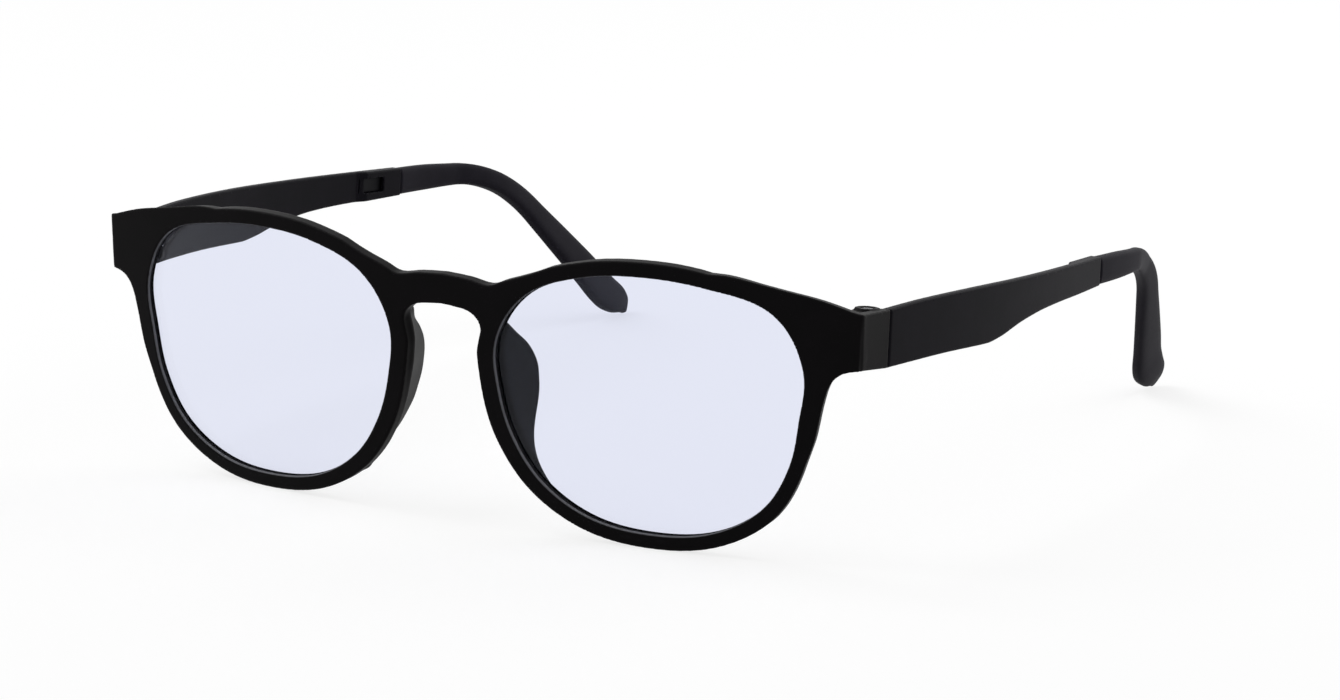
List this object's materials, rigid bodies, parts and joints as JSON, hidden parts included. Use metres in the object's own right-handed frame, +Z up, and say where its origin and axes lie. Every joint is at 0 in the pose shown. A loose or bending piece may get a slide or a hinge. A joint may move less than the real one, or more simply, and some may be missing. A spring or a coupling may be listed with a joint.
{
  "type": "eyeglass frame for a magnetic clip",
  "caption": "Full-rim matte black spectacle frame with clear lenses, keyhole bridge and folding temples, with magnets behind its face for a clip-on.",
  "frame": {"origin": "middle of the small flat on the front of the bridge, which a clip's bridge meets; the frame stands open on the bottoms of its rims and the ends of its tips", "axes": "+X to the wearer's left, +Y back along the temples towards the wearer, +Z up from the table it stands on"},
  "size_m": [0.1446, 0.1465, 0.0459],
  "materials": {
    "frame": "moulded polyamide with a fine matte texture",
    "temple": "moulded polyamide with a fine matte texture",
    "tip": "soft-touch elastomer",
    "lens": "polished clear demonstration lens",
    "magnet": "nickel-plated disc magnet",
    "screw": "dark plated steel",
    "insert": "turned brass",
    "steel": "turned stainless steel",
    "core": "blackened spring steel"
  },
  "bodies": {
    "front_body": {"front": "frame", "lens_left": "lens", "lens_right": "lens", "magnet_left": "magnet", "magnet_right": "magnet", "hinge_screw_left": "screw", "hinge_screw_right": "screw", "hinge_insert_left": "insert", "hinge_insert_right": "insert", "hinge_washer_upper_left": "steel", "hinge_washer_upper_right": "steel", "hinge_washer_lower_left": "steel", "hinge_washer_lower_right": "steel"},
    "temple_left_body": {"temple_left": "temple", "tip_left": "tip", "tip_core_left": "core", "hinge_bush_left": "steel"},
    "temple_right_body": {"temple_right": "temple", "tip_right": "tip", "tip_core_right": "core", "hinge_bush_right": "steel"}
  },
  "joints": [
    {"name": "temple_left_fold", "type": "hinge", "parent": "front_body", "child": "temple_left_body", "pos_m": [0.0669, 0.01644, -0.00269], "axis": [0, 0.0765, 0.9971], "range_deg": [0, 85.5]},
    {"name": "temple_right_fold", "type": "hinge", "parent": "front_body", "child": "temple_right_body", "pos_m": [-0.0669, 0.01644, -0.00269], "axis": [0, -0.0765, -0.9971], "range_deg": [0, 80]}
  ]
}
